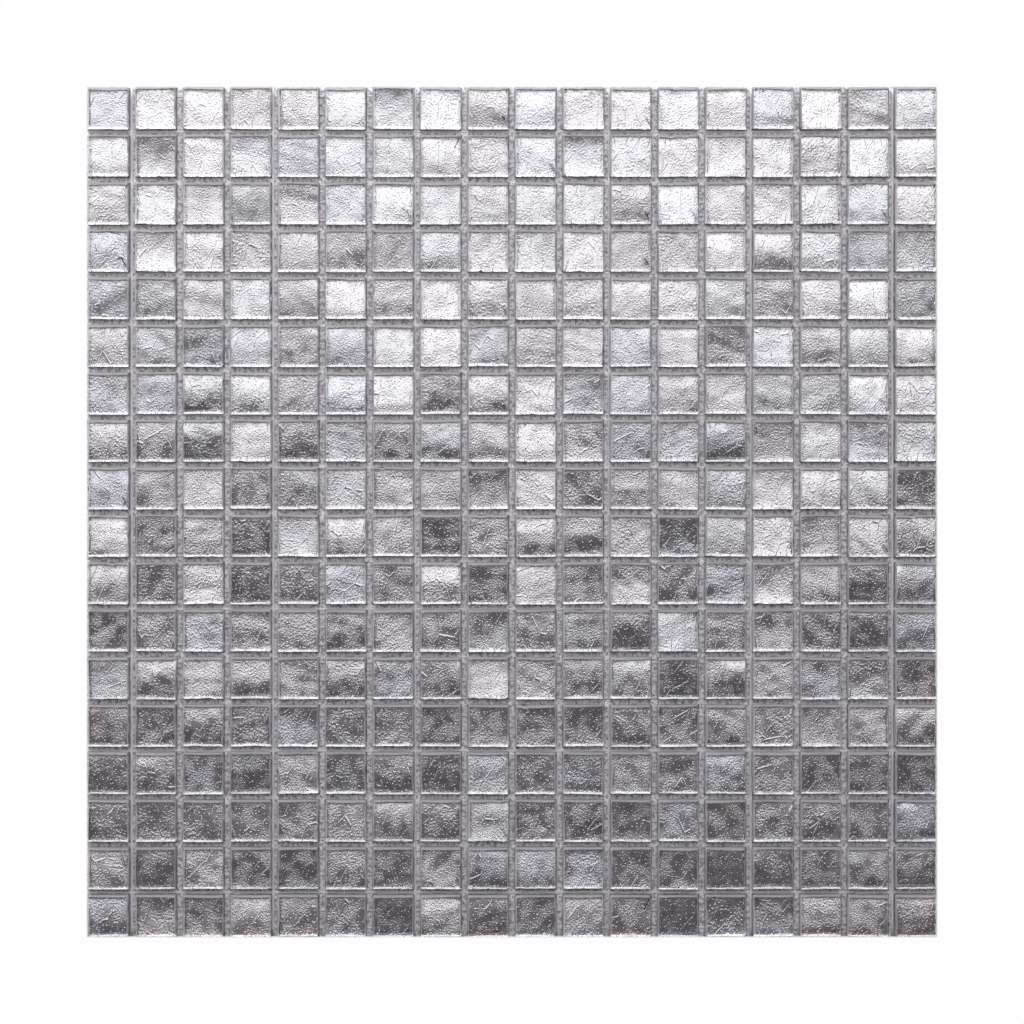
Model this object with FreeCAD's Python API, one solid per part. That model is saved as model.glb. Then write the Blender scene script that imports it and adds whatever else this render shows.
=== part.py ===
import FreeCAD, Part
import os

# A net-mounted sheet of square glass mosaic tiles with silver leaf on their backs.
# The sheet lies face up. The origin is the centre of its underside, +Z is up and
# the tile rows run along X.

# Glass tiles, in millimetres
tiles_per_side = 18
tile_side = 15.0
joint_width = 1.75
glass_thickness = 3.85
brow_width = 0.4
brow_drop = 0.1
arris_width = 0.85
arris_drop = 0.95

# Silver leaf with its protective lacquer, on the back of every tile
leaf_thickness = 0.15

# Glass-fibre net under the tiles, two layers of flat yarns that cross
yarn_pitch = 6.25
yarn_width = 1.0
yarn_thickness = 0.15
yarn_flank = 0.15
net_setback = 0.3

# Sizes that follow from the ones above
tile_pitch = tile_side + joint_width
sheet_side = tiles_per_side * tile_side + (tiles_per_side - 1) * joint_width
net_side = sheet_side - 2 * net_setback
yarn_count = int((net_side - yarn_width) // yarn_pitch) + 1
weft_bottom = 0.0
warp_bottom = weft_bottom + yarn_thickness
leaf_bottom = warp_bottom + yarn_thickness
glass_bottom = leaf_bottom + leaf_thickness


def centred_steps(count, pitch):
    """Places of equal pitch, spread evenly about zero."""
    return [(index - (count - 1) / 2) * pitch for index in range(count)]


def bar_along_y(section, length):
    """A straight bar with the given XZ section, its middle at Y = 0."""
    corners = [FreeCAD.Vector(x, -length / 2, z) for x, z in section]
    outline = Part.makePolygon(corners + corners[:1])
    return Part.Face(outline).extrude(FreeCAD.Vector(0, length, 0))


def turned_to_x(shape):
    """A copy that is turned a quarter about the Z axis."""
    copy = shape.copy()
    copy.rotate(FreeCAD.Vector(0, 0, 0), FreeCAD.Vector(0, 0, 1), 90)
    return copy


def moved(shape, x, y, z):
    """A copy at the given place."""
    copy = shape.copy()
    copy.translate(FreeCAD.Vector(x, y, z))
    return copy


def glass_tile():
    """One tile with its base on Z = 0. The same section, swept both ways and intersected,
    gives the steep arris and the gentle brow above it all round, with mitred corners."""
    half = tile_side / 2
    brow_half = half - arris_width
    face_half = brow_half - brow_width
    brow = glass_thickness - brow_drop
    shoulder = brow - arris_drop
    section = [
        (-half, 0), (half, 0), (half, shoulder), (brow_half, brow),
        (face_half, glass_thickness), (-face_half, glass_thickness),
        (-brow_half, brow), (-half, shoulder),
    ]
    one_way = bar_along_y(section, tile_side)
    return one_way.common(turned_to_x(one_way)).removeSplitter().Solids[0]


def leaf_square():
    """The leaf and lacquer of one tile, cut with the glass and so flush with it."""
    half = tile_side / 2
    section = [(-half, 0), (half, 0), (half, leaf_thickness), (-half, leaf_thickness)]
    return bar_along_y(section, tile_side)


def yarn():
    """One flat yarn with its underside on Z = 0 and bevelled flanks."""
    half = yarn_width / 2
    seat_half = half - yarn_flank
    middle = yarn_thickness / 2
    section = [
        (-seat_half, 0), (seat_half, 0), (half, middle),
        (seat_half, yarn_thickness), (-seat_half, yarn_thickness), (-half, middle),
    ]
    return bar_along_y(section, net_side)


def write_node(name, solids):
    """One STEP file, with the solids that make up the node."""
    Part.makeCompound(solids).exportStep(f"parts/{name}.step")
    print(f"{name}: {len(solids)} solids")


def write_tile_rows():
    """The rows are numbered from the near edge, -Y, to the far edge, +Y."""
    tile = glass_tile()
    leaf = leaf_square()
    columns = centred_steps(tiles_per_side, tile_pitch)
    for number, y in enumerate(centred_steps(tiles_per_side, tile_pitch), start=1):
        write_node(f"tile_row_{number:02d}", [moved(tile, x, y, glass_bottom) for x in columns])
        write_node(f"leaf_row_{number:02d}", [moved(leaf, x, y, leaf_bottom) for x in columns])


def write_net():
    """Warp yarns along Y lie on weft yarns along X and touch them where they cross."""
    places = centred_steps(yarn_count, yarn_pitch)
    warp = yarn()
    weft = turned_to_x(warp)
    write_node("net_warp", [moved(warp, x, 0, warp_bottom) for x in places])
    write_node("net_weft", [moved(weft, 0, y, weft_bottom) for y in places])


os.makedirs("parts", exist_ok=True)
write_tile_rows()
write_net()
print(f"sheet {sheet_side:.2f} mm square, {glass_bottom + glass_thickness:.2f} mm thick")
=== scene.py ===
# %% [markdown]
# # A sheet of silver-leaf glass mosaic
# Small square chips of clear glass, each with silver leaf on its back, are glued to a
# glass-fibre net. The installer lays the whole sheet at once. This lesson dresses the fixed
# frame of the part: the real sizes come from it, and each piece made here stands where a
# plain solid of the frame stands.

# %% The frame and its box
import math

import bpy
import numpy as np
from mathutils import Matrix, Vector


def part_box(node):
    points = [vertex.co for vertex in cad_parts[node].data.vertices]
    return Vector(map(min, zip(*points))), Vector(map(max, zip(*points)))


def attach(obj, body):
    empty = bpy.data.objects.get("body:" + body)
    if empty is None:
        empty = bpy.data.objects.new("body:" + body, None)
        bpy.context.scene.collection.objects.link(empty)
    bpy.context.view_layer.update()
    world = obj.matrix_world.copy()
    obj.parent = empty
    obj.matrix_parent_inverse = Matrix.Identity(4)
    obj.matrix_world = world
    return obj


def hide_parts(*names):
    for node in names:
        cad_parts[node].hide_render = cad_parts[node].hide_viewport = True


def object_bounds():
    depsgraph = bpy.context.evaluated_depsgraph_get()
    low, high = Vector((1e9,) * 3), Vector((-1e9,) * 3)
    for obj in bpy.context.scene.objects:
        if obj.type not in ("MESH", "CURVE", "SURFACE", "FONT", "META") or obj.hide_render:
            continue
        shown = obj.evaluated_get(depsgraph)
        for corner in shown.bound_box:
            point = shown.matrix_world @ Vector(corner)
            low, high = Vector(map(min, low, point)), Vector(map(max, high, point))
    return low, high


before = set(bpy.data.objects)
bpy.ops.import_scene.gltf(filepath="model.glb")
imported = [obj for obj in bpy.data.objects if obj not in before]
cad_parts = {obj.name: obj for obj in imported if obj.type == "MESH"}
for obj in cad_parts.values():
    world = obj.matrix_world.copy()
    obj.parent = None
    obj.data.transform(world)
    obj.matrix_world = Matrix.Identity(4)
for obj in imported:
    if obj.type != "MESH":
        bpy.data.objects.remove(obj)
frame_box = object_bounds()
MM = 0.001
print("frame box in mm:", [[round(c / MM, 3) for c in corner] for corner in frame_box])

# %% [markdown]
# ## Sizes from the frame
# The rows are numbered from the near edge to the far edge. The pitch of the rows is also the
# pitch of the columns, because the tiles are square and evenly jointed, so two rows are
# enough to find where every tile stands.

# %% Tile places
ROWS = sorted(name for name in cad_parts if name.startswith("tile_row_"))
LEAF_ROWS = sorted(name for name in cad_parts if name.startswith("leaf_row_"))
tile_low, tile_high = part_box(ROWS[0])
leaf_low, leaf_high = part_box(LEAF_ROWS[0])
next_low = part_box(ROWS[1])[0]
TILE = tile_high.y - tile_low.y
PITCH = next_low.y - tile_low.y
GLASS_BASE, GLASS_TOP = tile_low.z, tile_high.z
LEAF_BASE, LEAF_TOP = leaf_low.z, leaf_high.z
COLUMN_X = [(step - (len(ROWS) - 1) / 2) * PITCH for step in range(len(ROWS))]
ROW_Y = {name: (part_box(name)[0].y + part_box(name)[1].y) / 2 for name in ROWS + LEAF_ROWS}
print(f"{len(ROWS)} rows, tile {TILE / MM:.2f} mm, pitch {PITCH / MM:.2f} mm")

# %% [markdown]
# ## Colours and shader nodes
# Colours are written as the hex values of the screen. Cycles reckons with linear light, so
# one function turns them. Another adds a node, with its options and what feeds its inputs,
# which keeps each material short enough to read as a recipe. The last two open a material and
# set the colours of a ramp.

# %% Helpers for materials
def linear(hex_code):
    """An sRGB hex colour as linear RGBA."""
    shares = [int(hex_code[i:i + 2], 16) / 255 for i in (1, 3, 5)]
    return (*[s / 12.92 if s <= 0.04045 else ((s + 0.055) / 1.055) ** 2.4 for s in shares], 1.0)


def add_node(tree, kind, options=None, inputs=None):
    """One node. Each input is a plain value or the output of another node.

    Inputs that share a name, as in a mix, are given by their number.
    """
    made = tree.nodes.new(kind)
    for name, value in (options or {}).items():
        setattr(made, name, value)
    for name, value in (inputs or {}).items():
        if isinstance(value, bpy.types.NodeSocket):
            tree.links.new(value, made.inputs[name])
        else:
            made.inputs[name].default_value = value
    return made


def empty_material(name):
    """A new material without any nodes, and its tree to fill."""
    material = bpy.data.materials.new(name)
    material.use_nodes = True
    material.node_tree.nodes.clear()
    return material, material.node_tree


def set_stops(ramp_node, stops):
    """Puts the (place, colour) stops on a colour ramp."""
    ramp = ramp_node.color_ramp
    while len(ramp.elements) < len(stops):
        ramp.elements.new(1.0)
    for element, (place, colour) in zip(ramp.elements, stops):
        element.position = place
        element.color = colour


print("mid grey in linear light:", round(linear("#808080")[0], 3))

# %% [markdown]
# ## Clear soda-lime glass, fire-polished
# The chips are soda-lime glass, as windows are, with an index of refraction of 1.52. Fire
# polishing melts the surface smooth, so its gloss is sharp, but it leaves slow ripples of a
# few millimetres. They bend what is seen of the leaf a little. Handling leaves a faint haze.
# The arris round the face is ground, so it is frosted and passes less light. The side below it
# is snapped, its hackle dull, and it is painted dark as the shade that falls in the joints. The
# mesh says in its `worked` attribute how much of each a point has: X is the ground
# share and Y the share of painted shade.

# %% Glass material
SODA_LIME_IOR = 1.52
RIPPLE_WIDTH, RIPPLE_HEIGHT = 3.0 * MM, 0.035 * MM
HAZE_WIDTH, HAZE_ROUGHNESS = 5.0 * MM, 0.06
GROUND_ROUGHNESS, GROUND_CLEARNESS = 0.38, 0.58


def make_glass():
    """Clear glass with ripple as bump. The grinding and the painted shade come from the mesh."""
    material, tree = empty_material("fire_polished_soda_lime_glass")
    place = add_node(tree, "ShaderNodeTexCoord").outputs["Object"]
    ripple = add_node(tree, "ShaderNodeTexNoise", {"noise_dimensions": "2D"}, {
        "Vector": place, "Scale": 1 / RIPPLE_WIDTH, "Detail": 0.0})
    bump = add_node(tree, "ShaderNodeBump", inputs={
        "Height": ripple.outputs["Fac"], "Strength": 1.0, "Distance": RIPPLE_HEIGHT})
    haze = add_node(tree, "ShaderNodeTexNoise", {"noise_dimensions": "2D"}, {
        "Vector": place, "Scale": 1 / HAZE_WIDTH, "Detail": 1.0})
    gloss = add_node(tree, "ShaderNodeMapRange", inputs={
        "Value": haze.outputs["Fac"], "From Min": 0.55, "From Max": 0.8,
        "To Min": 0.0, "To Max": HAZE_ROUGHNESS})
    worked = add_node(tree, "ShaderNodeAttribute", {"attribute_name": "worked"}).outputs["Vector"]
    share = add_node(tree, "ShaderNodeSeparateXYZ", inputs={"Vector": worked})
    roughness = add_node(tree, "ShaderNodeMix", {"data_type": "FLOAT"}, {
        "Factor": share.outputs["X"], 2: gloss.outputs["Result"], 3: GROUND_ROUGHNESS})
    clear = add_node(tree, "ShaderNodeMapRange", inputs={
        "Value": share.outputs["X"], "To Min": 1.0, "To Max": GROUND_CLEARNESS})
    tint = add_node(tree, "ShaderNodeMix", {"data_type": "RGBA"}, {
        "Factor": share.outputs["X"], 6: linear("#F6F7F6"), 7: linear("#F2EEF1")})
    # The snapped wall is painted dark grey, as the shade that falls on it in the joints
    colour = add_node(tree, "ShaderNodeMix", {"data_type": "RGBA"}, {
        "Factor": share.outputs["Y"], 6: tint.outputs[2], 7: linear("#464440")})
    shader = add_node(tree, "ShaderNodeBsdfPrincipled", inputs={
        "Base Color": colour.outputs[2], "Roughness": roughness.outputs[0], "IOR": SODA_LIME_IOR,
        "Transmission Weight": clear.outputs["Result"], "Normal": bump.outputs["Normal"]})
    add_node(tree, "ShaderNodeOutputMaterial", inputs={"Surface": shader.outputs["BSDF"]})
    return material


GLASS = make_glass()
print("made", GLASS.name)

# %% [markdown]
# ## The crinkle of silver leaf
# Leaf is a metal film a few thousandths of a millimetre thick. It takes the fine crinkle of
# its size coat. The real grains are under half a millimetre wide, too fine for the picture,
# so they are drawn a little wider. They are deep in one patch and shallow in the next, and
# here and there the leaf folds, is scratched or lies over a speck of dust. All of this is far
# too fine to model, so it is noise and cells that feed one bump.

# %% Grain and marks of the leaf
GRAIN_WIDTH = 0.65 * MM
GRAIN_DEPTH = 0.084 * MM
SCRATCH_SPACING = 5.0 * MM
SPECK_SPACING = 1.7 * MM
GRAIN_STRETCH, SCRATCH_STRETCH = 0.85, 0.35


def leaf_grain(tree, place, own_fineness):
    """The grains, drawn out a little, and finer on one tile than on the next."""
    drawn_out = add_node(tree, "ShaderNodeMapping", inputs={
        "Vector": place, "Scale": (GRAIN_STRETCH, 1.0, 1.0)})
    fineness = add_node(tree, "ShaderNodeMapRange", inputs={
        "Value": own_fineness, "To Min": 0.8 / GRAIN_WIDTH, "To Max": 1.25 / GRAIN_WIDTH})
    grain = add_node(tree, "ShaderNodeTexNoise", {"noise_dimensions": "2D"}, {
        "Vector": drawn_out.outputs["Vector"], "Scale": fineness.outputs["Result"],
        "Detail": 2.0, "Roughness": 0.55})
    return grain.outputs["Fac"]


def leaf_scratches(tree, place, patch):
    """Folds and scratches along the edges of long cells, on the shallow patches only."""
    long_way = add_node(tree, "ShaderNodeMapping", inputs={
        "Vector": place, "Scale": (SCRATCH_STRETCH, 1.0, 1.0)})
    crease = add_node(tree, "ShaderNodeTexVoronoi",
                      {"feature": "DISTANCE_TO_EDGE", "voronoi_dimensions": "2D"},
                      {"Vector": long_way.outputs["Vector"], "Scale": 1 / SCRATCH_SPACING})
    where = add_node(tree, "ShaderNodeMapRange", inputs={
        "Value": patch, "From Min": 0.56, "From Max": 0.64, "To Min": 0.0, "To Max": 0.5})
    scratch = add_node(tree, "ShaderNodeMapRange", {"interpolation_type": "SMOOTHSTEP"}, {
        "Value": crease.outputs["Distance"], "From Min": 0.0, "From Max": 0.045,
        "To Min": where.outputs["Result"], "To Max": 0.0})
    return scratch.outputs["Result"]


def leaf_specks(tree, place):
    """Specks of dust under the leaf, one in each cell."""
    speck = add_node(tree, "ShaderNodeTexVoronoi", {"feature": "F1", "voronoi_dimensions": "2D"}, {
        "Vector": place, "Scale": 1 / SPECK_SPACING})
    dot = add_node(tree, "ShaderNodeMapRange", {"interpolation_type": "SMOOTHSTEP"}, {
        "Value": speck.outputs["Distance"], "From Min": 0.04, "From Max": 0.2,
        "To Min": 0.6, "To Max": 0.0})
    return dot.outputs["Result"]


print(f"grains {GRAIN_WIDTH / MM:.2f} mm wide on tiles of {TILE / MM:.0f} mm")

# %% [markdown]
# ## Silver leaf, burnished onto the glass
# Leaf is a bare metal to the eye, greyed a little by its lacquer, with a trace of tarnish that
# is warm on one tile and bluish on the next. Burnishing makes it glossy but not sharp. Each
# tile gets its own draw of numbers with its mesh, which turns the crinkle, sets how fine it is
# and shifts the tint, so that one material can dress every tile and no two look alike.

# %% Silver leaf material
# The crinkle is turned by an angle in this range, another on each tile
LEAST_TURN, MOST_TURN = math.radians(-92), math.radians(-52)
DEEP_CRINKLE, SHALLOW_CRINKLE = 1.65, 0.3
# The pits between the grains are painted darker, as the shade that falls in them, and are duller
# than the crests
PIT_PAINTED_SHADE = 0.91
PIT_ROUGHNESS, CREST_ROUGHNESS = 0.2, 0.15


def make_leaf():
    """Metal with the tile's own tint and painted shade in its pits, and grain and marks as bump."""
    material, tree = empty_material("burnished_silver_leaf")
    draw = add_node(tree, "ShaderNodeAttribute", {"attribute_name": "tile_draw"}).outputs["Vector"]
    own = add_node(tree, "ShaderNodeSeparateXYZ", inputs={"Vector": draw})
    place = add_node(tree, "ShaderNodeTexCoord").outputs["Object"]
    away = add_node(tree, "ShaderNodeVectorMath", {"operation": "ADD"}, {0: place, 1: draw})
    turn = add_node(tree, "ShaderNodeMapRange", inputs={
        "Value": own.outputs["X"], "To Min": LEAST_TURN, "To Max": MOST_TURN})
    turned_place = add_node(tree, "ShaderNodeVectorRotate", {"rotation_type": "Z_AXIS"}, {
        "Vector": away.outputs[0], "Angle": turn.outputs["Result"]})
    grain = leaf_grain(tree, turned_place.outputs[0], own.outputs["Y"])
    patch = add_node(tree, "ShaderNodeTexNoise", {"noise_dimensions": "2D"}, {
        "Vector": away.outputs[0], "Scale": 1 / SCRATCH_SPACING, "Detail": 0.0})
    marks = add_node(tree, "ShaderNodeMath", {"operation": "ADD"}, {
        0: leaf_scratches(tree, turned_place.outputs[0], patch.outputs["Fac"]),
        1: leaf_specks(tree, away.outputs[0])})
    strength = add_node(tree, "ShaderNodeMapRange", inputs={
        "Value": patch.outputs["Fac"], "From Min": 0.36, "From Max": 0.64,
        "To Min": DEEP_CRINKLE, "To Max": SHALLOW_CRINKLE})
    swing = add_node(tree, "ShaderNodeMath", {"operation": "SUBTRACT"}, {0: grain, 1: 0.5})
    crinkle = add_node(tree, "ShaderNodeMath", {"operation": "MULTIPLY"}, {
        0: swing.outputs[0], 1: strength.outputs["Result"]})
    height = add_node(tree, "ShaderNodeMath", {"operation": "ADD"}, {
        0: marks.outputs[0], 1: crinkle.outputs[0]})
    bump = add_node(tree, "ShaderNodeBump", inputs={
        "Height": height.outputs[0], "Strength": 1.0, "Distance": GRAIN_DEPTH})
    tarnish = add_node(tree, "ShaderNodeValToRGB", inputs={"Fac": own.outputs["Z"]})
    set_stops(tarnish, [(0.0, linear("#D3D4DC")), (0.35, linear("#D6D6DC")),
                        (0.65, linear("#D8D6DB")), (1.0, linear("#D9D6DA"))])
    # The pits between the grains are painted darker, as shade
    painted_pit_shade = add_node(tree, "ShaderNodeMapRange", inputs={
        "Value": grain, "From Min": 0.36, "From Max": 0.6, "To Min": PIT_PAINTED_SHADE, "To Max": 1.0})
    colour = add_node(tree, "ShaderNodeMix", {"data_type": "RGBA", "blend_type": "MULTIPLY"}, {
        "Factor": 1.0, 6: tarnish.outputs["Color"], 7: painted_pit_shade.outputs["Result"]})
    shine = add_node(tree, "ShaderNodeMapRange", inputs={
        "Value": grain, "From Min": 0.3, "From Max": 0.7,
        "To Min": PIT_ROUGHNESS, "To Max": CREST_ROUGHNESS})
    shader = add_node(tree, "ShaderNodeBsdfPrincipled", inputs={
        "Base Color": colour.outputs[2], "Metallic": 1.0,
        "Roughness": shine.outputs["Result"], "Normal": bump.outputs["Normal"]})
    add_node(tree, "ShaderNodeOutputMaterial", inputs={"Surface": shader.outputs["BSDF"]})
    return material


LEAF = make_leaf()
print("made", LEAF.name)

# %% [markdown]
# ## Grey lacquer on the back
# Bare leaf would rub off, so its back is sprayed with a matt lacquer. It shows only when the
# sheet is turned over. The spray leaves a fine orange peel.

# %% Lacquer material
PEEL_WIDTH, PEEL_HEIGHT = 0.9 * MM, 0.03 * MM


def make_lacquer():
    """Matt grey lacquer with orange peel."""
    material, tree = empty_material("sprayed_backing_lacquer")
    place = add_node(tree, "ShaderNodeTexCoord").outputs["Object"]
    peel = add_node(tree, "ShaderNodeTexNoise", inputs={
        "Vector": place, "Scale": 1 / PEEL_WIDTH, "Detail": 2.0})
    colour = add_node(tree, "ShaderNodeValToRGB", inputs={"Fac": peel.outputs["Fac"]})
    set_stops(colour, [(0.35, linear("#9C9A9C")), (0.65, linear("#ADABAC"))])
    bump = add_node(tree, "ShaderNodeBump", inputs={
        "Height": peel.outputs["Fac"], "Strength": 0.6, "Distance": PEEL_HEIGHT})
    shader = add_node(tree, "ShaderNodeBsdfPrincipled", inputs={
        "Base Color": colour.outputs["Color"], "Roughness": 0.6, "Normal": bump.outputs["Normal"]})
    add_node(tree, "ShaderNodeOutputMaterial", inputs={"Surface": shader.outputs["BSDF"]})
    return material


LACQUER = make_lacquer()
print("made", LACQUER.name)

# %% [markdown]
# ## Resin-coated glass-fibre yarn
# The net is drawn glass filament, dipped in a white resin that keeps it flat and stiff. The
# filaments still show through the coat as fine lines along each yarn. A real filament is a
# hundredth of a millimetre wide, so bundles of them are drawn instead.

# %% Yarn material
BUNDLE_WIDTH, BUNDLE_HEIGHT = 0.18 * MM, 0.04 * MM
BUNDLE_STRETCH = 0.06


def make_yarn_finish(name, along_x):
    """White resin over filaments that run along one axis."""
    material, tree = empty_material(name)
    place = add_node(tree, "ShaderNodeTexCoord").outputs["Object"]
    stretch = (BUNDLE_STRETCH, 1.0, 1.0) if along_x else (1.0, BUNDLE_STRETCH, 1.0)
    along = add_node(tree, "ShaderNodeMapping", inputs={"Vector": place, "Scale": stretch})
    filament = add_node(tree, "ShaderNodeTexNoise", inputs={
        "Vector": along.outputs["Vector"], "Scale": 1 / BUNDLE_WIDTH, "Detail": 2.0})
    colour = add_node(tree, "ShaderNodeValToRGB", inputs={"Fac": filament.outputs["Fac"]})
    set_stops(colour, [(0.3, linear("#DCDAE0")), (0.7, linear("#FBFAFD"))])
    bump = add_node(tree, "ShaderNodeBump", inputs={
        "Height": filament.outputs["Fac"], "Strength": 0.8, "Distance": BUNDLE_HEIGHT})
    shader = add_node(tree, "ShaderNodeBsdfPrincipled", inputs={
        "Base Color": colour.outputs["Color"], "Roughness": 0.55, "IOR": 1.5,
        "Normal": bump.outputs["Normal"]})
    add_node(tree, "ShaderNodeOutputMaterial", inputs={"Surface": shader.outputs["BSDF"]})
    return material


WARP_FINISH = make_yarn_finish("resin_coated_warp_yarn", along_x=False)
WEFT_FINISH = make_yarn_finish("resin_coated_weft_yarn", along_x=True)
print("made", WARP_FINISH.name, "and", WEFT_FINISH.name)

# %% [markdown]
# ## From arrays to pieces
# A sheet has hundreds of chips, so each row is one joined mesh. Its points are worked out as
# arrays, which is far quicker than hundreds of separate objects, and it still rides on the
# part and stands for one node of the frame.

# %% A helper for joined meshes
def make_piece(name, points, faces, finishes, slot, node, finish_of_face=None, **shares):
    """A smooth mesh piece that stands for a node of the frame. Shares are three numbers a point."""
    mesh = bpy.data.meshes.new(name)
    mesh.from_pydata(points.tolist(), [], faces)
    for finish in finishes:
        mesh.materials.append(finish)
    mesh.polygons.foreach_set("use_smooth", [True] * len(mesh.polygons))
    if finish_of_face is not None:
        mesh.polygons.foreach_set("material_index", finish_of_face)
    for title, values in shares.items():
        attribute = mesh.attributes.new(title, "FLOAT_VECTOR", "POINT")
        attribute.data.foreach_set("vector", np.ravel(values))
    mesh.update()
    piece = bpy.data.objects.new(name, mesh)
    bpy.context.collection.objects.link(piece)
    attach(piece, "root")
    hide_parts(node)
    return piece


def ring_faces(first, second, count):
    """Quads between two rings of the same count, given by the index of their first point."""
    return [(first + k, first + (k + 1) % count, second + (k + 1) % count, second + k)
            for k in range(count)]


def triangle_count(pieces):
    """How many triangles the pieces come to once each face is cut into them."""
    return sum(len(piece.data.loops) - 2 * len(piece.data.polygons) for piece in pieces)


print("pieces are joined by row:", len(ROWS), "rows of", len(COLUMN_X), "tiles")

# %% [markdown]
# ## The plan of one tile
# The chips are cut by hand from rolled glass. Their corners are a little rounded, their sides
# wander by a tenth or two of a millimetre, and some have lost a flake. The plan is a rounded
# square walked once round, with its sides pushed in by smooth random waves.

# %% Outline of a tile
CORNER_RADIUS = 0.6 * MM
CORNER_POINTS = 3
SIDE_POINTS = 9
OUTLINE_POINTS = 4 * (CORNER_POINTS + SIDE_POINTS)
LAP = np.arange(OUTLINE_POINTS) / OUTLINE_POINTS * 2 * math.pi
# Random phases of waves run up to this, about a full turn
ANY_PHASE = 6.3
WANDER = 0.07 * MM
WANDER_TURNS = (3, 5, 8, 11)
# The mean push as a share of that, and how much of a push reaches the corners
MEAN_WANDER, CORNER_WANDER = 0.6, 0.4
# The share of tiles with a flake, and its depth and its reach round the tile in radians
FLAKE_SHARE = 0.3
FLAKE_DEPTH, FLAKE_ANGLE = 0.35 * MM, 0.09


def turned(x, y, angle):
    """A plan point turned about the centre."""
    return (x * math.cos(angle) - y * math.sin(angle), x * math.sin(angle) + y * math.cos(angle))


def corner_point(turn, straight, angle):
    """A point on the rounded corner that comes before the side at this turn."""
    centre = turned(straight, -straight, turn)
    return (centre[0] + CORNER_RADIUS * math.cos(angle), centre[1] + CORNER_RADIUS * math.sin(angle))


def wander(draw, side_share):
    """How far each outline point is pushed in: slow waves, and a flake on some tiles."""
    waves = sum(draw.normal(0, 1 / turns) * np.cos(turns * LAP + draw.uniform(0, ANY_PHASE))
                for turns in WANDER_TURNS)
    side_wander = CORNER_WANDER + (1 - CORNER_WANDER) * side_share
    push = WANDER * np.clip(MEAN_WANDER + waves, 0, 2) * side_wander
    if draw.random() < FLAKE_SHARE:
        spot = draw.uniform(0, 2 * math.pi)
        away = np.abs((LAP - spot + math.pi) % (2 * math.pi) - math.pi)
        push = push + FLAKE_DEPTH * np.exp(-(away / FLAKE_ANGLE) ** 2)
    return push


def tile_outline(draw):
    """Points round one tile and the direction out of it at each, about its centre."""
    half = TILE / 2
    straight = half - CORNER_RADIUS
    points, outward, side_share = [], [], []
    for side in range(4):
        turn = side * math.pi / 2
        for k in range(CORNER_POINTS):
            angle = turn - math.pi / 2 + math.pi / 2 * k / (CORNER_POINTS - 1)
            points.append(corner_point(turn, straight, angle))
            outward.append((math.cos(angle), math.sin(angle)))
            side_share.append(0.0)
        for k in range(1, SIDE_POINTS + 1):
            run = 2 * k / (SIDE_POINTS + 1) - 1
            points.append(turned(half, run * straight, turn))
            outward.append(turned(1.0, 0.0, turn))
            side_share.append(1 - run ** 2)
    points, outward = np.array(points), np.array(outward)
    push = wander(draw, np.array(side_share))
    return points - outward * push[:, None], outward


trial = tile_outline(np.random.default_rng(0))[0]
print("outline points:", len(trial), "span in mm:", np.round(np.ptp(trial, axis=0) / MM, 2))

# %% [markdown]
# ## The glass chips
# Each chip is a stack of rings: the base, the shoulder where the ground arris starts, the
# arris itself, steep at first and then a gentle brow, and a slightly pillowed face. What is
# seen through the steep part is turned aside, so the near arris shows the far lamps as a
# white line and the others stay grey. That is why it is geometry and not a painted border.
# Hand grinding leaves the arris wider on the near and far sides, and the sides flare out a
# little towards the base, most of all on the right.

# %% Rings of a chip
ARRIS_WIDTH = 1.25 * MM
# The share of that width which each side takes
LEFT, RIGHT, NEAR, FAR = 0.62, 0.45, 0.86, 0.95
# Waves in the width: one round the chip, as a tilted wheel leaves it, and three round it
TILT_WAVE, UNEVEN_WAVE = 0.16, 0.12
ARRIS_DROP = 1.6 * MM
# Inset and rise of each ring of the arris, as shares of its width and drop
ARRIS_SHAPE = [(0.0, 0.0), (0.04, 0.18), (0.24, 0.43), (0.46, 0.66), (0.64, 0.90), (0.69, 0.96),
               (0.85, 0.986), (1.0, 1.0)]
LEFT_FLARE, RIGHT_FLARE, NEAR_FLARE = 0.16 * MM, 0.30 * MM, 0.10 * MM
# How much the flare scatters along a side, and the least and most that is left of it
FLARE_SCATTER, LEAST_FLARE, MOST_FLARE = 0.4, 0.1, 2.0
FACE_RINGS = [0.5 * MM, 2.0 * MM, 4.0 * MM]
PILLOW = 0.05 * MM


def facing(outward):
    """How far each outline point faces right, left, near and far, from 0 to 1."""
    x, y = outward[:, 0], outward[:, 1]
    return [np.clip(part, 0, 1) for part in (x, -x, -y, y)]


def drawn_in(outline, inset):
    """The outline made smaller by an inset. Each side takes its own share of it."""
    share = np.where(outline > 0, (RIGHT, FAR), (LEFT, NEAR))
    return outline * (1 - share * np.reshape(inset, (-1, 1)) / (TILE / 2))


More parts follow.
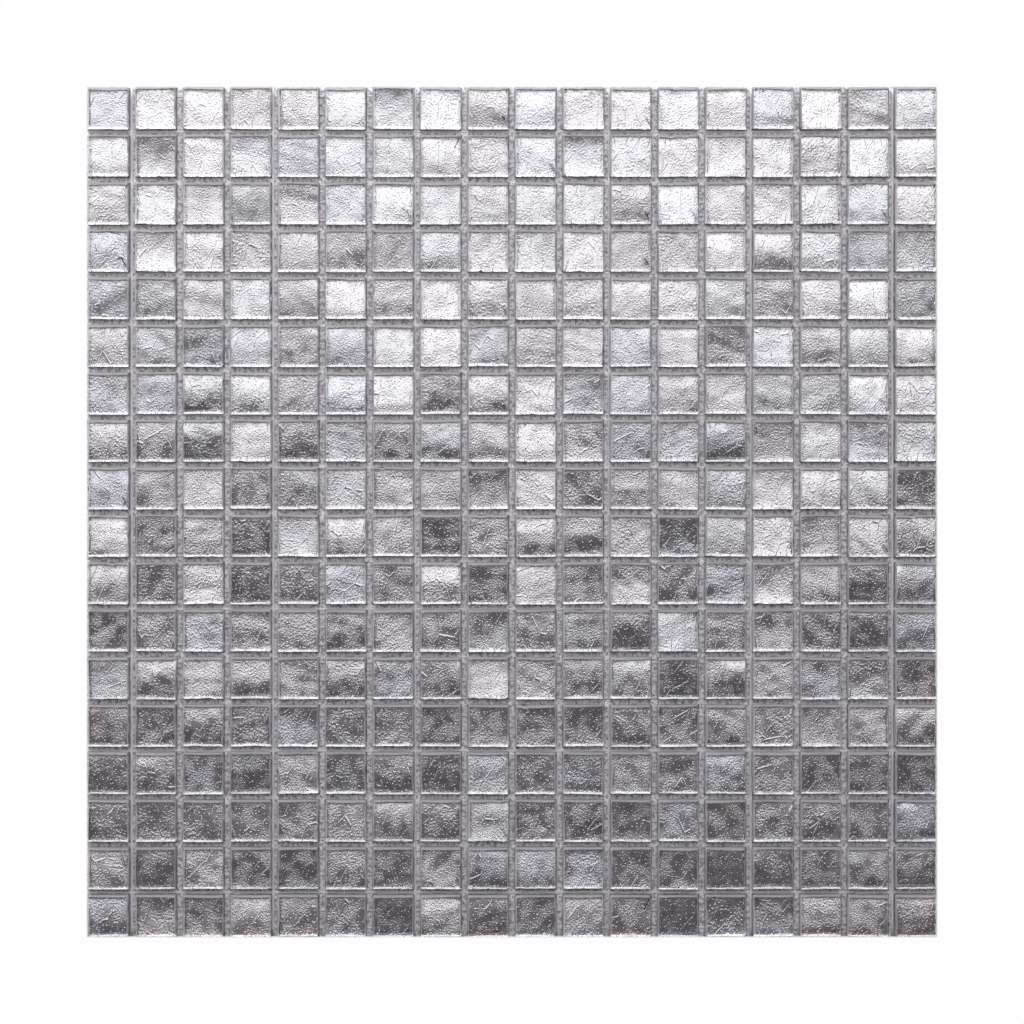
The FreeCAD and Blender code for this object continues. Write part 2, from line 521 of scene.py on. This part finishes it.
def tile_rings(outline, outward, draw):
    """The rings of one chip from its base to its face, each as an outline and its heights."""
    width = ARRIS_WIDTH * (1 + TILT_WAVE * np.cos(LAP + draw.uniform(0, ANY_PHASE))
                           + UNEVEN_WAVE * np.cos(3 * LAP + draw.uniform(0, ANY_PHASE)))
    rings = [(outline, np.full(OUTLINE_POINTS, GLASS_BASE))]
    right, left, near, _ = facing(outward)
    flare = right * RIGHT_FLARE + left * LEFT_FLARE + near * NEAR_FLARE * draw.uniform(0, 2)
    scatter = 1 + draw.normal(0, FLARE_SCATTER, OUTLINE_POINTS)
    flare = flare * np.clip(scatter, LEAST_FLARE, MOST_FLARE)
    outline = outline - outward * flare[:, None]
    for inset, rise in ARRIS_SHAPE:
        height = GLASS_TOP - PILLOW - ARRIS_DROP * (1 - rise)
        rings.append((drawn_in(outline, width * inset), np.full(OUTLINE_POINTS, height)))
    for extra in FACE_RINGS:
        share = extra / (TILE / 2 - ARRIS_WIDTH)
        height = GLASS_TOP - PILLOW * (1 - share) ** 2
        rings.append((drawn_in(outline, width + extra), np.full(OUTLINE_POINTS, height)))
    return rings


print("rings of a chip:", 1 + len(ARRIS_SHAPE) + len(FACE_RINGS))

# %% [markdown]
# ## How the sides are worked and shaded
# The wall from the base to the shoulder is snapped. The arris above it is ground, and the
# grinding fades out at the face. How frosted they come out differs by side, as it does under
# hand tools, and the brow on the far side stays clear. The snapped wall is painted dark as
# shade, darker on the right, near and far sides. The mesh carries both as shares, so that one
# glass serves the whole chip and the change from worked to clear is soft.

# %% Ground and painted-shade shares
# Ground share and painted-shade share of each ring, from the base up. The snapped wall is as
# rough as ground glass and is painted as shade, so it has both.
RING_FROST_AND_SHADE = [(1, 1), (1, 1), (1, 0), (1, 0), (1, 0), (1, 0), (1, 0), (0.7, 0)]
FIRST_BROW_RING = 6
# How frosted grinding leaves the glass, and how much less so on the near and far sides
FROSTED, CLEARER_NEAR, CLEARER_FAR = 0.82, 0.45, 0.04
# How dark the snapped wall is painted as shade, and how much darker on three of the sides
WALL_SHADE, RIGHT_SHADE, NEAR_SHADE, FAR_SHADE = 0.2, 0.35, 0.8, 0.35


def worked_shares(outward, count):
    """The ground share and the painted-shade share of each of a chip's points. The far brow stays
    clear.
    """
    right, _, near, far = facing(outward)
    frosted = FROSTED - CLEARER_NEAR * near - CLEARER_FAR * far
    # Painted shade on the snapped wall, heavier on the right, near and far sides
    side_shade = np.max([RIGHT_SHADE * right, NEAR_SHADE * near, FAR_SHADE * far], axis=0)
    shares = np.zeros((count, 3))
    for ring, (ground_share, shade_share) in enumerate(RING_FROST_AND_SHADE):
        here = slice(ring * OUTLINE_POINTS, (ring + 1) * OUTLINE_POINTS)
        shares[here, 0] = ground_share * frosted * (1 - far if ring >= FIRST_BROW_RING else 1)
        shares[here, 1] = shade_share * (WALL_SHADE + side_shade)
    return shares


print("snapped rings:", sum(snapped > 0 for _, snapped in RING_FROST_AND_SHADE), "of", len(RING_FROST_AND_SHADE))

# %% [markdown]
# ## Rows of chips
# Each row becomes one mesh of eighteen chips. No chip sits quite square on its net, so each is
# turned and shifted a little, and then kept inside the tile's own place, so that neighbours
# never touch. The draws are seeded by row, and every run gives the same sheet.

# %% Glass tiles by row
SHIFT = 0.10 * MM
YAW = math.radians(0.35)
GLASS_SEED = 1000


def placed(block, x, y, yaw, shift):
    """Chip points turned and shifted, then kept inside the tile's own place in the frame."""
    turned_block = block.copy()
    turned_block[:, 0] = block[:, 0] * math.cos(yaw) - block[:, 1] * math.sin(yaw) + shift[0]
    turned_block[:, 1] = block[:, 0] * math.sin(yaw) + block[:, 1] * math.cos(yaw) + shift[1]
    limit = TILE / 2
    turned_block[:, :2] = np.clip(turned_block[:, :2], -limit, limit)
    return turned_block + np.array([x, y, 0])


def glass_row(number, node):
    """One joined mesh of a row's glass chips."""
    draw = np.random.default_rng(GLASS_SEED + number)
    points, faces, worked = [], [], []
    for x in COLUMN_X:
        outline, outward = tile_outline(draw)
        rings = tile_rings(outline, outward, draw)
        start = sum(len(block) for block in points)
        stack = [np.column_stack([ring, height]) for ring, height in rings]
        stack.append(np.array([[0, 0, GLASS_TOP], [0, 0, GLASS_BASE]]))
        block = np.vstack(stack)
        yaw = draw.normal(0, YAW)
        shift = np.clip(draw.normal(0, SHIFT, 2), -SHIFT, SHIFT)
        points.append(placed(block, x, ROW_Y[node], yaw, shift))
        worked.append(worked_shares(outward, len(block)))
        for k in range(len(rings) - 1):
            ring = start + k * OUTLINE_POINTS
            faces += ring_faces(ring, ring + OUTLINE_POINTS, OUTLINE_POINTS)
        top_ring = start + (len(rings) - 1) * OUTLINE_POINTS
        middle = start + len(rings) * OUTLINE_POINTS
        for k in range(OUTLINE_POINTS):
            after = (k + 1) % OUTLINE_POINTS
            faces.append((top_ring + k, top_ring + after, middle))
            faces.append((start + after, start + k, middle + 1))
    return make_piece(f"glass_row_{number:02d}", np.vstack(points), faces, [GLASS],
                      "clear_glass", node, worked=np.vstack(worked))


glass_pieces = [glass_row(number, node) for number, node in enumerate(ROWS, start=1)]
print("glass triangles:", triangle_count(glass_pieces))

# %% [markdown]
# ## The leaf under each chip
# Rolled glass isn't flat at the back. Each chip was cut from another part of it, so each leaf
# leans and bulges in its own way, and that is why one tile flashes white and its neighbour
# stays dark. The leaf is a fine grid, raised by a lean, a bulge and a few slow waves, and
# closed below by the lacquer.

# %% Leaf by row
# Squares along a side of the leaf's grid
GRID = 22
LEAF_SETBACK = 0.12 * MM
LEAF_HALF = TILE / 2 - LEAF_SETBACK
# The spread of the leans, and how many spreads a lean may reach
LEAN = math.radians(1.7)
LEAN_LIMIT = 1.8
# The bulge as curvature, which is one over the radius in metres
BULGE, BULGE_SPREAD, SIDEWAYS_BULGE = 3.0, 5.0, 0.6
# How steep each slow wave is, and the lengths of the waves in mm
WAVE_SLOPE = math.radians(0.85)
WAVE_LENGTHS = (16.0, 11.0, 7.0, 4.5)
LEAF_SEED = 2000


def leaf_relief(draw, x, y):
    """Height of one tile's leaf over its grid, in metres."""
    lean = LEAN * np.clip(draw.normal(0, 1, 2), -LEAN_LIMIT, LEAN_LIMIT)
    height = lean[0] * x + lean[1] * y
    height = height - draw.normal(BULGE, BULGE_SPREAD) / 2 * y ** 2
    height = height - draw.normal(BULGE, BULGE_SPREAD) / 2 * x ** 2 * SIDEWAYS_BULGE
    for length in WAVE_LENGTHS:
        heading = draw.uniform(0, math.pi)
        turns = 2 * math.pi / (length * MM)
        phase = draw.uniform(0, 2 * math.pi)
        along = x * math.cos(heading) + y * math.sin(heading)
        height = height + WAVE_SLOPE / turns * np.cos(turns * along + phase)
    return height - height.min()


def leaf_row(number, node):
    """One joined mesh of a row's leaves, silver above and lacquer at the sides and back."""
    draw = np.random.default_rng(LEAF_SEED + number)
    side = GRID + 1
    line = np.linspace(-LEAF_HALF, LEAF_HALF, side)
    x, y = np.meshgrid(line, line)
    top = [(r * side + c, r * side + c + 1, (r + 1) * side + c + 1, (r + 1) * side + c)
           for r in range(GRID) for c in range(GRID)]
    rim = ([c for c in range(GRID)] + [r * side + GRID for r in range(GRID)]
           + [GRID * side + c for c in range(GRID, 0, -1)] + [r * side for r in range(GRID, 0, -1)])
    points, faces, finish_of_face, draws = [], [], [], []
    for column_x in COLUMN_X:
        relief = leaf_relief(draw, x, y)
        surface = np.column_stack([x.ravel(), y.ravel(), (LEAF_TOP + relief).ravel()])
        base = surface[rim].copy()
        base[:, 2] = LEAF_BASE
        start = sum(len(block) for block in points)
        points.append(np.vstack([surface, base]) + np.array([column_x, ROW_Y[node], 0]))
        draws.append(np.tile(draw.random(3), (len(points[-1]), 1)))
        foot = start + side * side
        faces += [tuple(start + i for i in quad) for quad in top]
        count = len(rim)
        for k in range(count):
            after = (k + 1) % count
            faces.append((start + rim[after], start + rim[k], foot + k, foot + after))
        faces.append(tuple(foot + k for k in reversed(range(count))))
        finish_of_face += [0] * len(top) + [1] * (count + 1)
    return make_piece(f"silver_leaf_row_{number:02d}", np.vstack(points), faces, [LEAF, LACQUER],
                      "silver_leaf", node, finish_of_face, tile_draw=np.vstack(draws))


leaf_pieces = [leaf_row(number, node) for number, node in enumerate(LEAF_ROWS, start=1)]
print("leaf triangles:", triangle_count(leaf_pieces))

# %% [markdown]
# ## The net
# Warp yarns run across the rows and lie on the weft yarns. A resin dip binds them where they
# cross. The yarns are flat tubes along the lines of the frame, with eight sides. They wander
# slightly, as a soft net does, and swell and narrow a little along their run.

# %% Net yarns
YARN_SIDES = 8
YARN_STEPS = 96
# Points of the frame's net that are farther apart than this belong to two yarns
YARN_GAP = 2 * MM
# How far a yarn sways in each of its waves, and the lengths of the waves in mm
YARN_SWAY = 0.05 * MM
SWAY_LENGTHS = (120, 60, 25)
# The width as a share of the frame's yarn, and how far it swells and narrows
YARN_FULLNESS, YARN_SWELL = 0.88, 0.06
# How fast the swelling turns, from least to most, in radians a metre
SWELL_TURNS = (300, 500)
WARP_SEED, WEFT_SEED = 31, 32


def yarn_places(node, axis):
    """The middle of each yarn across its run, read from the frame's own solids."""
    points = np.array([v.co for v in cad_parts[node].data.vertices])
    low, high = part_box(node)
    across = np.unique(np.round(points[:, axis] / MM, 3)) * MM
    edges = across[np.concatenate([[True], np.diff(across) > YARN_GAP])]
    width = high[axis] - edges[-1]
    return edges + width / 2, width


def net_layer(name, node, along_x, finish, seed):
    """All the yarns of one direction as one mesh."""
    draw = np.random.default_rng(seed)
    low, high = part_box(node)
    axis = 1 if along_x else 0
    middles, width = yarn_places(node, axis)
    run_axis = 1 - axis
    run = np.linspace(low[run_axis], high[run_axis], YARN_STEPS + 1)
    lap = np.arange(YARN_SIDES) / YARN_SIDES * 2 * math.pi
    mid_z, half_z = (low.z + high.z) / 2, (high.z - low.z) / 2
    points, faces = [], []
    for middle in middles:
        sway = sum(draw.normal(0, YARN_SWAY) * np.cos(2 * math.pi * run / (length * MM)
                                                      + draw.uniform(0, ANY_PHASE))
                   for length in SWAY_LENGTHS)
        swell = np.cos(run * draw.uniform(*SWELL_TURNS) + draw.uniform(0, ANY_PHASE))
        half_w = width / 2 * (YARN_FULLNESS + YARN_SWELL * swell)
        spare = np.minimum(high[axis] - middle, middle - low[axis]) - half_w
        sway = np.clip(sway, -spare, spare)
        ring = np.zeros((YARN_STEPS + 1, YARN_SIDES, 3))
        ring[:, :, run_axis] = run[:, None]
        ring[:, :, axis] = middle + sway[:, None] + half_w[:, None] * np.cos(lap)
        ring[:, :, 2] = mid_z + half_z * np.sin(lap)
        start = sum(len(block) for block in points)
        points.append(ring.reshape(-1, 3))
        for k in range(YARN_STEPS):
            faces += ring_faces(start + k * YARN_SIDES, start + (k + 1) * YARN_SIDES, YARN_SIDES)
        last = start + YARN_STEPS * YARN_SIDES
        faces.append(tuple(start + k for k in reversed(range(YARN_SIDES))))
        faces.append(tuple(last + k for k in range(YARN_SIDES)))
    return make_piece(name, np.vstack(points), faces, [finish], "glass_fibre", node)


warp = net_layer("net_warp_yarns", "net_warp", False, WARP_FINISH, WARP_SEED)
weft = net_layer("net_weft_yarns", "net_weft", True, WEFT_FINISH, WEFT_SEED)
print("net triangles:", triangle_count([warp, weft]))

# %% [markdown]
# ## The floor
# The sheet lies on white paper. In the joints the paper is lit only through the gaps, so it
# looks grey there. It is painted with a soft mottle a millimetre wide: its lavender grey
# patches are painted shade and its white spots are painted glints.
# Away from the sheet the camera sees it as plain white, and so do the glass and the leaf. That
# is done by kind of ray, so no lamp has to be turned up for it.

# %% Floor material
# The mottle of painted shade and glints under the joints is this wide
MOTTLE_WIDTH = 1.3 * MM
# Plain white fades in from just inside the edge of the sheet to just outside it
WHITE_INSIDE, WHITE_OUTSIDE = 0.3 * MM, 0.7 * MM
WHITE_SHARE = 0.98


def make_paper():
    """Paper mottled with painted shade and glints, plain white outside the sheet to the camera and
    in mirrors.
    """
    material, tree = empty_material("white_background_paper")
    place = add_node(tree, "ShaderNodeTexCoord").outputs["Object"]
    split = add_node(tree, "ShaderNodeSeparateXYZ", inputs={"Vector": place})
    side = [add_node(tree, "ShaderNodeMath", {"operation": "ABSOLUTE"}, {0: split.outputs[axis]})
            for axis in ("X", "Y")]
    reach = add_node(tree, "ShaderNodeMath", {"operation": "MAXIMUM"}, {
        0: side[0].outputs[0], 1: side[1].outputs[0]})
    edge = frame_box[1].x
    away = add_node(tree, "ShaderNodeMapRange", {"interpolation_type": "SMOOTHSTEP"}, {
        "Value": reach.outputs[0], "From Min": edge - WHITE_INSIDE,
        "From Max": edge + WHITE_OUTSIDE, "To Min": 0.0, "To Max": WHITE_SHARE})
    ray = add_node(tree, "ShaderNodeLightPath").outputs
    mirrored = add_node(tree, "ShaderNodeMath", {"operation": "ADD"}, {
        0: ray["Is Glossy Ray"], 1: ray["Is Transmission Ray"]})
    seen = add_node(tree, "ShaderNodeMath", {"operation": "ADD", "use_clamp": True}, {
        0: ray["Is Camera Ray"], 1: mirrored.outputs[0]})
    share = add_node(tree, "ShaderNodeMath", {"operation": "MULTIPLY"}, {
        0: away.outputs["Result"], 1: seen.outputs[0]})
    # Lavender grey patches of painted shade and white spots of painted glint in the joints
    mottle = add_node(tree, "ShaderNodeTexNoise", {"noise_dimensions": "2D"}, {
        "Vector": place, "Scale": 1 / MOTTLE_WIDTH, "Detail": 2.0, "Roughness": 0.6})
    shade_and_glint = add_node(tree, "ShaderNodeValToRGB", inputs={"Fac": mottle.outputs["Fac"]})
    set_stops(shade_and_glint, [(0.34, linear("#AEAAAF")), (0.5, linear("#E0DEE4")), (0.62, linear("#FCFBFF"))])
    paper = add_node(tree, "ShaderNodeBsdfDiffuse", inputs={"Color": shade_and_glint.outputs["Color"]})
    white = add_node(tree, "ShaderNodeEmission", inputs={"Strength": 1.0})
    mix = add_node(tree, "ShaderNodeMixShader", inputs={
        "Fac": share.outputs[0], 1: paper.outputs[0], 2: white.outputs[0]})
    add_node(tree, "ShaderNodeOutputMaterial", inputs={"Surface": mix.outputs[0]})
    return material


PAPER = make_paper()
print("made", PAPER.name)

# %% [markdown]
# ## The sheet of paper
# One large quad is enough, because a plain background has no shape of its own. It lies a
# little below the net, so that the two don't share a plane and flicker. It isn't part of the
# object.

# %% Floor
FLOOR_HALF = 8.0
FLOOR_DROP = 0.02 * MM
floor_corners = [(x * FLOOR_HALF, y * FLOOR_HALF, -FLOOR_DROP)
                 for x, y in ((-1, -1), (1, -1), (1, 1), (-1, 1))]
floor_mesh = bpy.data.meshes.new("paper_floor")
floor_mesh.from_pydata(floor_corners, [], [(0, 1, 2, 3)])
floor_mesh.materials.append(PAPER)
floor = bpy.data.objects.new("paper_floor", floor_mesh)
bpy.context.collection.objects.link(floor)
print("floor", 2 * FLOOR_HALF, "m wide, just below the net")

# %% [markdown]
# ## Light
# Softboxes hang in one slope over the far half of the sheet, and the near edge of the upper
# one is almost above the middle. Below it the middle one is bright, and the two beside it are
# softer, so that leaf seen from a corner burns out less. Leaf that leans towards them flashes
# white, and leaf that leans away mirrors the dark room, so the far rows are bright and the
# near rows dark. A low strip behind lights the far arrises, and a dim panel hangs over the
# near side.

# %% Lamps
def soft_light(name, size, radiance, place, direction):
    """A rectangular lamp that shines in a direction. A mirror shows it at this radiance."""
    lamp = bpy.data.lights.new(name, "AREA")
    lamp.shape = "RECTANGLE"
    lamp.size, lamp.size_y = size
    lamp.energy = radiance * math.pi * size[0] * size[1]
    holder = bpy.data.objects.new(name, lamp)
    holder.location = place
    holder.rotation_euler = Vector(direction).to_track_quat("-Z", "Y").to_euler()
    bpy.context.collection.objects.link(holder)


# The way that all four softboxes face, and the depth and place of the three lower ones
SLOPE = (0, -0.466, -0.8)
LOWER_DEPTH, LOWER_Y, LOWER_Z = 0.813, 0.768, 0.704
soft_light("softbox_over", (2.2, 0.413), 1.3, (-0.3, 0.238, 1.0115), SLOPE)
for name, width, radiance, x in (("softbox_far", 1.0, 2.05, 0.0),
                                 ("softbox_left", 0.9, 0.8, -0.95),
                                 ("softbox_right", 0.3, 0.8, 0.65)):
    soft_light(name, (width, LOWER_DEPTH), radiance, (x, LOWER_Y, LOWER_Z), SLOPE)
soft_light("strip_far", (0.7, 0.22), 3.2, (-0.2, 0.46, 0.20), (0.2, -0.46, -0.20))
soft_light("fill_near", (2.0, 0.8), 0.1, (0, -0.82, 0.85), (0, 0, -1))

# %% [markdown]
# ## The room
# What no lamp covers, the leaf and the glass mirror as the grey of the room. It is set by
# direction in the world, a step darker towards the near side than overhead and beyond.

# %% World
# The part along Y of the direction looked in, where the room is at its darkest and lightest
DARK_TOWARDS, LIGHT_TOWARDS = -0.14, 0.03
world = bpy.data.worlds.new("dim_studio")
world.use_nodes = True
room = world.node_tree
heading = add_node(room, "ShaderNodeTexCoord").outputs["Generated"]
far_part = add_node(room, "ShaderNodeSeparateXYZ", inputs={"Vector": heading})
far_share = add_node(room, "ShaderNodeMapRange", inputs={
    "Value": far_part.outputs["Y"], "From Min": DARK_TOWARDS, "From Max": LIGHT_TOWARDS})
room_colour = add_node(room, "ShaderNodeMix", {"data_type": "RGBA"}, {
    "Factor": far_share.outputs["Result"], 6: linear("#534D50"), 7: linear("#908A8D")})
background = room.nodes["Background"]
room.links.new(room_colour.outputs[2], background.inputs["Color"])
background.inputs["Strength"].default_value = 1.0
bpy.context.scene.world = world
print("room:", world.name)

# %% [markdown]
# ## Camera
# The picture was taken from straight above with a long lens, so the sheet is a true square.
# The lens is worked out from the width that the picture spans at the height of the arrises.

# %% Camera
CAMERA_HEIGHT = 1.5
PICTURE_WIDTH = 0.3611
ARRIS_HEIGHT = 3 * MM
SENSOR = 36.0
camera_data = bpy.data.cameras.new("camera_above")
camera_data.sensor_width = SENSOR
camera_data.lens = SENSOR * (CAMERA_HEIGHT - ARRIS_HEIGHT) / PICTURE_WIDTH
camera = bpy.data.objects.new("camera_above", camera_data)
camera.location = (0, 0, CAMERA_HEIGHT)
bpy.context.collection.objects.link(camera)
bpy.context.scene.camera = camera
bpy.context.scene.view_settings.view_transform = "Standard"
print(f"lens {camera_data.lens:.1f} mm")
